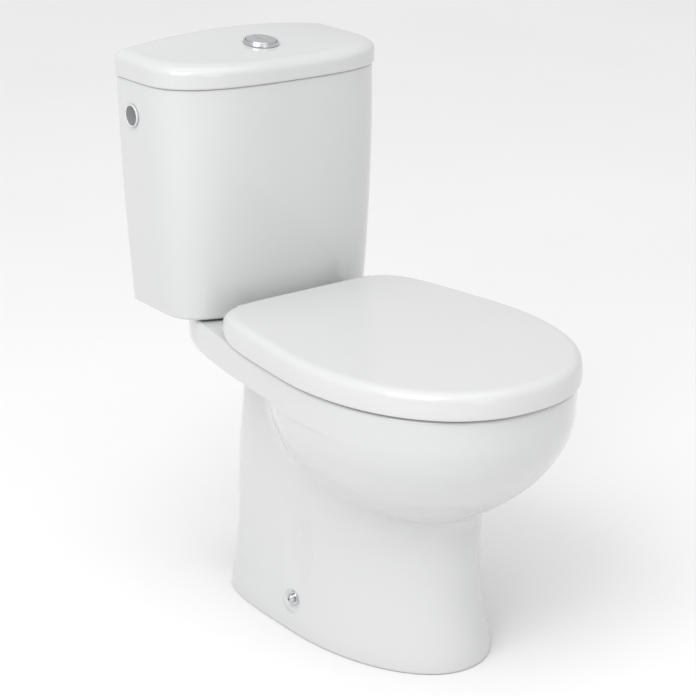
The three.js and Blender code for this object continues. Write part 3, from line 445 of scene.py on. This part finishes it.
def catmull(P, per):
    P = np.array(P, float); Q = np.vstack([2 * P[0] - P[1], P, 2 * P[-1] - P[-2]]); out = []
    for i in range(1, len(Q) - 2):
        for t in np.linspace(0, 1, per, endpoint=False):
            a, b, c, d = Q[i - 1], Q[i], Q[i + 1], Q[i + 2]
            out.append(0.5 * ((2 * b) + (c - a) * t + (2 * a - 5 * b + 4 * c - d) * t * t + (3 * b - a - 3 * c + d) * t ** 3))
    out.append(P[-1])
    return np.array(out)
def fix_pan(ob):
    bm = bmesh.new(); bm.from_mesh(ob.data)
    bmesh.ops.remove_doubles(bm, verts=bm.verts, dist=2e-6)
    bmesh.ops.dissolve_degenerate(bm, edges=bm.edges, dist=2e-6)
    bm.to_mesh(ob.data); bm.free()
    shade(ob, 68 if ob.name.startswith("pan") else 40)
pan = weight(make_pan())
stands_for(pan, "pan")

# ------------------------------------------------------------------ cistern
def tank_ring(t, grow, z, F=150, C=12, B=40):
    hw = 176.5 - 14.2 * t ** 1.75 + grow; df = 180 - 12.5 * t ** 1.75 + grow; cb = 100 - 26 * t; db = 5 - min(grow, 1); hwb = hw - 2.5
    rb = min(max(12 + grow, 4), 14); e = 2 / 2.9
    a = math.pi * np.arange(F) / (F - 1); c, s = np.cos(a), np.abs(np.sin(a))
    out = list(np.c_[-hw * np.sign(c) * np.abs(c) ** e, df - cb + cb * s ** e])
    ys = df - cb
    side = [((hw * (1 - k) + hwb * k), ys * (1 - k) + (db + rb) * k) for k in (0.25, 0.5, 0.75)]
    out += side
    q = np.linspace(0, math.pi / 2, C)
    out += list(np.c_[hwb - rb + rb * np.cos(q), db + rb - rb * np.sin(q)])
    out += [(k * (hwb - rb), db) for k in np.linspace(1, -1, B)[1:-1]]
    out += list(np.c_[-(hwb - rb) - rb * np.cos(q[::-1]), db + rb - rb * np.sin(q[::-1])])
    out += [(-x, y) for x, y in side[::-1]]
    P = np.array(out)
    return np.c_[P, np.full(len(P), float(z))]
tank_t = lambda z: min(max((716 - z) / 318, 0), 1)
def make_tank():
    spec = [(398 + 5 * (1 - math.cos(q)), -5 * (1 - math.sin(q))) for q in np.linspace(0, math.pi / 2, 9)]
    spec += [(z, 0) for z in np.linspace(410, 708, 44)]
    spec += [(714.3 + 2.2 * math.sin(q), -2.2 * (1 - math.cos(q))) for q in np.linspace(0, math.pi / 2, 7)]
    spec += [(716.5 - 1.5 * (1 - math.cos(q)), -9.5 + 1.5 * (1 - math.sin(q))) for q in np.linspace(0, math.pi / 2, 5)]
    spec += [(z, -9.5) for z in np.linspace(700, 426, 16)] + [(420, -10.2), (415, -12), (411.5, -15), (410, -20)]
    tank = loft("cistern_tank_china", [tank_ring(tank_t(z), g, z) for z, g in spec], china)
    tools = [cyl_z("valve_hole", 28.4, 0, VALVE_D, 390, 420, china)]
    for s in (-1, 1):
        tools += [cyl_z("bolt_hole", 6.5, s * BOLT_X, VALVE_D, 390, 420, china, 32), cyl_x("side_hole", 10.5, *((-190, -150) if s < 0 else (150, 190)), SIDE_D, SIDE_Z, china, 40)]
    boolean(tank, tools, "DIFFERENCE"); fix_pan(tank)
    return weight(tank)
stands_for(make_tank(), "cistern_tank")

def lid_top(x, d):
    return 745 + 2 * (x / 150) ** 2 + (172 - d) * 0.137 * (1 - 0.8 * np.minimum(np.abs(x) / 165, 1.1) ** 2)
def make_lid():
    rings = []
    def scaled(r, k, drop=0.0):
        X, D = r[:, 0] * k, 92 + (r[:, 1] - 92) * k
        return np.c_[X, D, lid_top(X, D) - drop]
    under, top = tank_ring(0, -15, 0), tank_ring(0, LID_GROW - 22, 0)
    for k in (0.15, 0.4, 0.7, 1.0):
        rings.append(scaled(under, k, LID_T))
    r = tank_ring(0, -9.6, 0); rings.append(np.c_[r[:, :2], lid_top(under[:, 0], under[:, 1]) - LID_T - 2.5])
    r = tank_ring(0, -8.4, 0); rings.append(np.c_[r[:, :2], lid_top(under[:, 0], under[:, 1]) - LID_T - 7])
    rings += [tank_ring(0, -8, LID_SEAM + 1), tank_ring(0, -7, LID_SEAM)]
    rings += [tank_ring(0, LID_GROW - 2.6 * (1 - math.sin(q)), LID_SEAM + 3.2 * (1 - math.cos(q))) for q in np.linspace(0, math.pi / 2, 8)]
    q_ = np.linspace(0, math.pi / 2, 15)
    for k in (0.35, 0.7):
        zt = lid_top(top[:, 0], top[:, 1]) - 14.5
        r = tank_ring(0, LID_GROW, 0); rings.append(np.c_[r[:, :2], (LID_SEAM + 3.2) * (1 - k) + zt * k])
    for q in q_:
        r = tank_ring(0, LID_GROW - 22 * (1 - math.cos(q)), 0)
        rings.append(np.c_[r[:, :2], lid_top(top[:, 0], top[:, 1]) - 14.5 * (1 - math.sin(q))])
    for k in (0.95, 0.88, 0.8, 0.7, 0.6, 0.5, 0.4, 0.3, 0.2, 0.1):
        rings.append(scaled(top, k))
    lid = loft("cistern_lid_china", rings, china, (0, 92, float(lid_top(0, 92)) - LID_T), (0, 92, float(lid_top(0, 92))))
    lugs = []
    for s in (-1, 1):
        lugs += [box("lug", s * 161, s * 164.5, 70, 100, 707, 745, china), box("lug", s * 80, s * 110, 16.5, 20, 707, 750, china)]
    boolean(lid, lugs, "UNION")
    m = at(0, BUTTON_D, float(lid_top(0, BUTTON_D)), Matrix.Rotation(LID_TILT, 4, "X"))
    boolean(lid, [turned("hole", [[0, -30], [34, -30], [34, -10.3], [24, -10.3], [24, 30], [0, 30]], china, 80, m)], "DIFFERENCE")
    fix_pan(lid)
    return weight(lid)
stands_for(make_lid(), "cistern_lid")

# ------------------------------------------------------------------ seat
seatm = MAT["seat_plastic"]
def seat_width(d, rear, inset):
    a, b, c = 184.5 - inset, 243.5 - inset, 426.0; u = d - c
    front = a * np.maximum(1 - (np.clip(u, 0, b) / b) ** 2.2, 0) ** (1 / 2.2)
    k = np.maximum(-u, 0)
    back = (a - 30 * (k / 247) ** 1.2) * np.maximum(1 - np.minimum(k / (c - rear), 1) ** 7, 0) ** (1 / 7)
    return np.where(u >= 0, front, back)
def seat_ring(z, inset, rear, N=240):
    c, b, half = 426.0, 243.5 - inset, N // 2
    t = math.pi * np.arange(half + 1) / half - math.pi / 2
    d = np.where(t < 0, c - (c - rear) * np.abs(np.sin(t)) ** 0.8, c + b * np.sin(t))
    # extra points across the straight rear edge come from the power above; widths close to zero at both tips
    w = seat_width(d, rear, inset)
    left = np.c_[-w, d]; right = np.c_[w, d][::-1][1:-1]
    P = np.vstack([left, right])
    return np.c_[P, np.full(len(P), float(z))]
barrel_rear = lambda z: HINGE_D - math.sqrt(max(BARREL_R ** 2 - (z - HINGE_Z) ** 2, 0))
def make_cover():
    lv = [(397.5, 1.6), (397.8, 0.9), (398.5, 0.4), (399.8, 0.05), (402, 0), (405, 0), (409, 0.1), (413.6, 0.4), (417, 0.75), (420, 1.3), (422.5, 2.1), (424.5, 3.1), (426.3, 4.5), (427.8, 6.2), (429.0, 8.2), (429.9, 10.4), (430.5, 12.8), (430.8, 15.5)]
    rings = [seat_ring(z, i, barrel_rear(z)) for z, i in lv]
    edge = rings[-1]
    for k in (0.985, 0.95, 0.9, 0.8, 0.7, 0.55, 0.4, 0.25, 0.1):
        rings.append(np.c_[edge[:, 0] * k, 430 + (edge[:, 1] - 430) * k, np.full(len(edge), 430.8 + 1.2 * (1 - k * k))])
    cover = loft("seat_cover_skin", rings, seatm, (0, 430, 397.5), (0, 430, 432.0))
    lv = [(390, 5.5), (400, 5.6), (412, 5.9), (420, 6.4), (423.5, 8.0), (425.4, 10.5), (COVER_UNDER, 14)]
    under = loft("under", [seat_ring(z, i, 212, 160) for z, i in lv], seatm, (0, 430, 390), (0, 430, COVER_UNDER))
    boolean(cover, [under, box("arm_room", -116, 116, HINGE_D - 0.1, 240, 390, COVER_UNDER, seatm), cyl_x("barrel", BARREL_IN, -116, 116, HINGE_D, HINGE_Z, seatm, 96)], "DIFFERENCE")
    cuts, adds, bores = [], [], []
    for s in (-1, 1):
        X = (lambda a, b: (-b, -a)) if s < 0 else (lambda a, b: (a, b))
        cuts += [box("notch", *X(62.8, 92.2), 180, HINGE_D, 390, 424.6, seatm), box("relief", *X(40, 64), 180, HINGE_D, 390, 402, seatm)]
        adds += [cyl_x("knuckle", 11.5, *X(92.6, 112), HINGE_D, HINGE_Z, seatm), box("web", *X(92.6, 112), 199, 212, 414, 429, seatm)]
        bores += [cyl_x("bore", 5.3, *X(90, 113), HINGE_D, HINGE_Z, seatm, 40)]
    boolean(cover, cuts, "DIFFERENCE"); boolean(cover, adds, "UNION"); boolean(cover, bores, "DIFFERENCE")
    fix_pan(cover)
    return weight(cover)
stands_for(make_cover(), "seat_cover")
def make_ring():
    lv = [(399, 11), (399.4, 9.6), (400.4, 8.5), (402, 8), (408, 8), (413, 8), (415.5, 8.6), (417.6, 9.9), (419.3, 11.9), (420.6, 14.4), (421.3, 17.2), (421.5, 20)]
    ring = loft("seat_ring_skin", [seat_ring(z, i, RING_REAR) for z, i in lv], seatm, (0, 430, 399), (0, 430, RING_TOP))
    hl = [(396, 118), (399, 115), (401, 113), (404, 112), (410, 112), (414, 113.2), (417, 115.4), (419.5, 118.6), (421, 122.5), (421.6, 126), (424, 128)]
    hole = loft("aperture", [super_ring(a, 430, 590 + (a - 112), 290 - (a - 112), (2.3, 2.3), z, 200) for z, a in hl], seatm)
    boolean(ring, [hole], "DIFFERENCE")
    adds, bores = [], []
    for s in (-1, 1):
        X = (lambda a, b: (-b, -a)) if s < 0 else (lambda a, b: (a, b))
        adds += [cyl_x("knuckle", 11, *X(43, 62.5), HINGE_D, HINGE_Z, seatm), box("arm", *X(43, 62.5), HINGE_D, 234, 405.5, 419.5, seatm)]
        bores += [cyl_x("bore", 5.3, *X(41, 64), HINGE_D, HINGE_Z, seatm, 40)]
    boolean(ring, adds, "UNION"); boolean(ring, bores, "DIFFERENCE")
    fix_pan(ring)
    return weight(ring)
stands_for(make_ring(), "seat_ring")

# ------------------------------------------------------------------ push button
unit = at(0, BUTTON_D, float(lid_top(0, BUTTON_D)), Matrix.Rotation(LID_TILT, 4, "X"))
chrome = MAT["chrome"]
bezel = turned("push_button_bezel", [[21.4, -22], [23.6, -22], [23.6, 0.5], [24.7, 0.5], [24.7, 1.7], [24.5, 2.2], [24.1, 2.5], [24.2, 2.9], [24.1, 3.6], [23.3, 4.6], [22.1, 4.9], [21.4, 4.4], [21.4, -22]], chrome, 128, unit, 30, 0.35)
stands_for(bezel, "button_bezel")
def half_button(side, name):
    """half disc with a rounded rim and a dished top"""
    R, g, S = 21.0, 0.35, 56
    outline = []
    a0 = math.acos(g / R)
    for a in np.linspace(-a0, a0, S):
        outline.append((R * math.cos(a), R * math.sin(a)))
    yy = R * math.sin(a0)
    for y in np.linspace(yy, -yy, 34)[1:-1]:
        outline.append((g, y))
    O = np.array(outline); c = np.array([R * 0.42, 0.0]); rings = []
    def ring(inset, h):
        v = O - c; L = np.linalg.norm(v, axis=1)[:, None]
        P = O - v / L * inset
        return np.c_[P, np.full(len(P), h)]
    prof = [(1.2, -2.6), (0.5, -2.5), (0, -2.0), (0, 4.4), (0.2, 5.1), (0.8, 5.75), (1.8, 6.2), (3.0, 6.4)]
    rings = [ring(i, h) for i, h in prof]
    for k in (0.85, 0.65, 0.4, 0.2):
        e = rings[7].copy(); e[:, :2] = c + (e[:, :2] - c) * k; e[:, 2] = 6.4 - 0.55 * (1 - k * k); rings.append(e)
    Rr = np.array(rings); M, N = Rr.shape[:2]
    V = Rr.reshape(-1, 3) * MM; V = np.vstack([V, [c[0] * MM, 0, -2.6 * MM], [c[0] * MM, 0, (6.4 - 0.6) * MM]])
    i = np.arange(N); j = (i + 1) % N; F = []
    for k in range(M - 1):
        F += np.c_[k * N + i, k * N + j, (k + 1) * N + j, (k + 1) * N + i].tolist()
    F += [(M * N, int(b), int(a)) for a, b in zip(i, j)] + [(M * N + 1, (M - 1) * N + int(a), (M - 1) * N + int(b)) for a, b in zip(i, j)]
    ob = new_object(name, V, F, chrome, 30); fix_normals(ob)
    ob.data.transform(unit @ (Matrix.Rotation(math.pi, 4, "Z") if side < 0 else Matrix.Identity(4)))
    shade(ob, 30)
    return ob
stands_for(half_button(-1, "push_button_full"), "full_flush_button")
stands_for(half_button(1, "push_button_half"), "half_flush_button")
stands_for(turned("push_button_nut", [[24.3, -19], [32, -19], [32, -10.9], [24.3, -10.9], [24.3, -19]], MAT["white_plastic"], 96, unit, 30, 0.8), "button_nut")
for s, tag in ((-1, "full"), (1, "half")):
    stands_for(turned(tag + "_rod", [[0, -40.9], [1.6, -40.9], [2.5, -39.6], [2.5, -2.95], [0, -2.95]], MAT["white_plastic"], 40, unit @ Matrix.Translation((s * 9 * MM, 0, 0))), tag + "_flush_rod")

# ------------------------------------------------------------------ side plug and inlet
mp = at(0, SIDE_D, SIDE_Z, ROT_NX)
stands_for(turned("plug_face", [[0, 158], [11.3, 158], [11.5, 160], [10, 162], [10, 176.2], [13.0, 176.2], [13.0, 177.3], [12.6, 177.75], [11.8, 177.9], [6, 178.2], [0, 178.3]], MAT["plug"], 96, mp), "side_plug_disc")
stands_for(turned("plug_bezel", [[13.4, 176.2], [15, 176.2], [15, 177.9], [14.6, 178.7], [13.9, 178.8], [13.4, 178.3], [13.4, 176.2]], MAT["white_plastic"], 96, mp, 30, 0.3), "side_plug_ring")
mi = at(0, SIDE_D, SIDE_Z, ROT_X)
prof = [[6, 141.6], [9, 141.6], [9, 159], [15, 159], [15, 164.6], [10, 164.8]]
x = 166.0
while x < 189.5:
    prof += [[10, x], [9.2, x + 0.9], [10, x + 1.8]]
    x += 1.8
prof += [[10, 190.3], [9.3, 191.5], [6, 191.5], [6, 141.6]]
stands_for(turned("inlet_thread", prof, MAT["brass"], 64, mi), "inlet_tail")

# ------------------------------------------------------------------ fixings, per side
for s, tag in ((-1, "left"), (1, "right")):
    m = at(s * 99, FIX_D, FIX_Z, ROT_X if s > 0 else ROT_NX)
    screw = turned("screw_" + tag, [[0, -8], [2.6, -8], [3.5, -6], [3.5, 17.6], [6.1, 17.6], [6.1, 20.6], [5.9, 21.4], [5.4, 22.3], [4.5, 23.2], [3.1, 23.8], [1.5, 24.05], [0, 24.1]], chrome, 64, m)
    cross = [box("slot", s * (99 + 21.9), s * (99 + 26), FIX_D - 3.0, FIX_D + 3.0, FIX_Z - 0.6, FIX_Z + 0.6, chrome), box("slot", s * (99 + 21.9), s * (99 + 26), FIX_D - 0.6, FIX_D + 0.6, FIX_Z - 3.0, FIX_Z + 3.0, chrome)]
    boolean(screw, cross, "DIFFERENCE"); shade(screw, 30)
    stands_for(screw, "side_screw_" + tag)
    stands_for(turned("screw_washer_" + tag, [[3.9, 15.8], [10.5, 15.8], [10.5, 16.9], [9.8, 17.3], [3.9, 17.3], [3.9, 15.8]], chrome, 64, m, 30, 0.25), "side_screw_washer_" + tag)
    # hinge post
    post = cyl_x("hinge_stand_" + tag, 12, s * HINGE_X - 13, s * HINGE_X + 13, HINGE_D, HINGE_Z, chrome, 72)
    boolean(post, [box("neck", s * HINGE_X - 13, s * HINGE_X + 13, 197, 213, 397, HINGE_Z, chrome), box("flange", s * HINGE_X - 13.4, s * HINGE_X + 13.4, 191.5, 218.5, 395.3, 399.3, chrome)], "UNION")
    boolean(post, [cyl_x("bore", 9.3, s * HINGE_X - 14, s * HINGE_X + 14, HINGE_D, HINGE_Z, chrome), cyl_z("stud_hole", 4.3, s * HINGE_X, HINGE_D, 390, 400.5, chrome, 32)], "DIFFERENCE")
    shade(post, 30); ease(post, 0.7, 2, 50)
    stands_for(post, "hinge_post_" + tag)
    stands_for(cyl_x("hinge_rod_" + tag, 5, s * HINGE_X - 34, s * HINGE_X + 34, HINGE_D, HINGE_Z, MAT["steel"], 48), "hinge_pin_" + tag)
    damper = turned("damper_" + tag, [[5.3, -12.8], [9, -12.8], [9, 12.8], [5.3, 12.8], [5.3, -12.8]], MAT["grey_plastic"], 64, at(s * HINGE_X, HINGE_D, HINGE_Z, ROT_X), 30, 0.4)
    stands_for(damper, "hinge_damper_" + tag)
    # threaded bolts
    def bolt(name, r, z0, z1, head, mat, m):
        p = [[0, z0], [r - 0.8, z0]]; z = z0 + 0.8
        while z < z1 - 26:
            p += [[r, z], [r - 0.5, z + 0.75]]; z += 1.5
        p += [[r, z]] + head
        return turned(name, p, mat, 40, m)
    stands_for(bolt("hinge_stud_" + tag, 4, 318, 400.2, [[4, 400.2], [0, 400.2]], MAT["white_plastic"], at(s * HINGE_X, HINGE_D, 0)), "hinge_bolt_" + tag)
    stands_for(bolt("coupling_screw_" + tag, 4, 331, 414, [[4, 414], [10, 414], [10, 417.2], [7.4, 419.2], [5, 419.5], [0, 419.5]], MAT["brass"], at(s * BOLT_X, VALVE_D, 0)), "coupling_bolt_" + tag)

# ------------------------------------------------------------------ flush valve and fill valve
vm = at(0, VALVE_D, 0)
vb = turned("flush_cage", [[22, 383], [27.6, 383], [27.6, 410.3], [36, 410.3], [36, 415], [32, 416], [32, 640], [29.5, 640], [29.5, 417], [22, 415.6], [22, 383]], MAT["white_plastic"], 80, vm, 30, 0.3)
boolean(vb, [box("window", -12, 12, VALVE_D - 50, VALVE_D + 50, 425, 515, MAT["white_plastic"]), box("window", -50, 50, VALVE_D - 12, VALVE_D + 12, 425, 515, MAT["white_plastic"])], "DIFFERENCE"); shade(vb, 30)
stands_for(vb, "flush_valve_body")
stands_for(turned("flush_top", [[15, 640.3], [33, 640.3], [33, 650], [31.8, 651], [31.8, 654], [33, 655], [33, 690], [28, 696], [15, 696], [15, 640.3]], MAT["blue_plastic"], 80, vm, 30, 0.5), "flush_valve_head")
stands_for(turned("flush_tube", [[11, 419.5], [26, 419.5], [26, 422.5], [14, 424], [14, 668], [11, 668], [11, 419.5]], MAT["white_plastic"], 64, vm, 30, 0.4), "flush_valve_tube")
fm = at(126, SIDE_D, 0)
prof = [[0, 425], [8, 425], [8, 602], [15, 606]]
for k in range(9):
    z = 612 + k * 8.6
    prof += [[15, z], [14.2, z + 0.8], [14.2, z + 2.2], [15, z + 3]]
prof += [[15, 690], [17, 691], [17, 702], [13, 706], [0, 706]]
stands_for(turned("fill_column", prof, MAT["white_plastic"], 64, fm), "fill_valve_body")
stands_for(turned("fill_float", [[8.9, 470], [28, 470], [30, 473], [30, 530], [28, 533], [8.9, 533], [8.9, 470]], MAT["blue_plastic"], 72, fm, 30, 0.8), "fill_valve_float")

# ------------------------------------------------------------------ turned rubber and metal rings
def ringp(name, rin, rout, z0, z1, x, d, mat, b=0.4, seg=56):
    return turned(name, [[rin, z0], [rout, z0], [rout, z1], [rin, z1], [rin, z0]], mat, seg, at(x, d, 0), 30, b)
rub = MAT["rubber"]
stands_for(ringp("gasket", 37.2, 45.6, 379.3, 397.6, 0, VALVE_D, rub, 1.2, 80), "tank_gasket")
stands_for(ringp("valve_seal", 15, 27.5, 416.9, 419.2, 0, VALVE_D, rub, 0.5, 72), "flush_valve_seal")
stands_for(ringp("valve_nut", 28.4, 35.5, 385.5, 397.6, 0, VALVE_D, MAT["white_plastic"], 0.8, 72), "flush_valve_back_nut")
for tag, x, d in (("front_left", -105, 590), ("front_right", 105, 590), ("rear_left", -140, 300), ("rear_right", 140, 300)):
    stands_for(ringp("buffer_" + tag, 2, 8, 395.3, 398.7, x, d, rub, 0.7, 40), "ring_buffer_" + tag)
for s, tag in ((-1, "left"), (1, "right")):
    stands_for(ringp("cover_stop_" + tag, 2, 7, 421.8, 426, s * 140, 480, rub, 0.8, 40), "cover_buffer_" + tag)
    stands_for(ringp("hinge_cone_" + tag, 4.4, 13, 333.5, 337.6, s * HINGE_X, HINGE_D, rub, 0.8), "hinge_washer_" + tag)
    stands_for(ringp("bolt_seal_" + tag, 4.4, 12, 410.3, 413.7, s * BOLT_X, VALVE_D, rub, 0.8), "coupling_seal_" + tag)
    stands_for(ringp("bolt_washer_" + tag, 4.4, 13, 346, 349.6, s * BOLT_X, VALVE_D, MAT["steel"], 0.4), "coupling_washer_" + tag)

# ------------------------------------------------------------------ room, light, camera
def build_floor(nt, b):
    nt.links.new(ramp(nt, noise(nt, 1.2, 4, seed=41.0), [(0.3, (0.835, 0.835, 0.833)), (0.7, (0.855, 0.855, 0.853))]), b.inputs["Base Color"])
    b.inputs["Roughness"].default_value = 0.8
    b.inputs["Specular IOR Level"].default_value = 0.2
n, V, F = 24, [], []
for i in range(n + 1):
    for j in range(n + 1):
        V.append((-12 + 24 * i / n, -12 + 24 * j / n, 0))
for i in range(n):
    for j in range(n):
        F.append((i * (n + 1) + j, (i + 1) * (n + 1) + j, (i + 1) * (n + 1) + j + 1, i * (n + 1) + j + 1))
floor = new_object("studio_floor", V, F, material("pale_floor", build_floor))

world = bpy.data.worlds.new("studio"); bpy.context.scene.world = world; world.use_nodes = True
bg = world.node_tree.nodes["Background"]; bg.inputs[0].default_value = (1.0, 1.0, 1.0, 1); bg.inputs[1].default_value = 0.70
def lamp(kind, name, loc, target, power, **kw):
    l = bpy.data.lights.new(name, kind); l.energy = power
    for k, v in kw.items():
        setattr(l, k, v)
    o = bpy.data.objects.new(name, l); bpy.context.scene.collection.objects.link(o)
    o.location = loc
    o.rotation_euler = (Vector(target) - Vector(loc)).to_track_quat("-Z", "Y").to_euler()
    return o
lamp("SUN", "ceiling", (-0.6, -0.8, 5.0), (0, 0, 0), 0.8, angle=math.radians(70))
lamp("AREA", "key", (-2.5, -1.0, 3.1), (0, 0, 0.4), 70, shape="RECTANGLE", size=2.2, size_y=2.6)
lamp("AREA", "front", (-0.6, -3.8, 1.4), (0, 0, 0.4), 9, shape="RECTANGLE", size=1.2, size_y=2.2)

cam = bpy.data.cameras.new("camera"); co = bpy.data.objects.new("camera", cam); bpy.context.scene.collection.objects.link(co)
cam.sensor_width = 36.0; cam.lens = 1901.59 / 696 * 36.0; cam.shift_x, cam.shift_y = 2.54 / 696, 15.93 / 696
cam.dof.use_dof = False; cam.clip_end = 100
az, el = math.radians(-37.3076), math.radians(19.9879)
back = Vector((math.sin(az) * math.cos(el), -math.cos(az) * math.cos(el), math.sin(el)))
T = Vector((-0.02037, 0.0154 + 0.0045, 0.3599))
co.location = T + back * 2.53078
co.rotation_euler = (-back).to_track_quat("-Z", "Y").to_euler()
bpy.context.scene.camera = co
bpy.context.scene.view_settings.view_transform = "Standard"
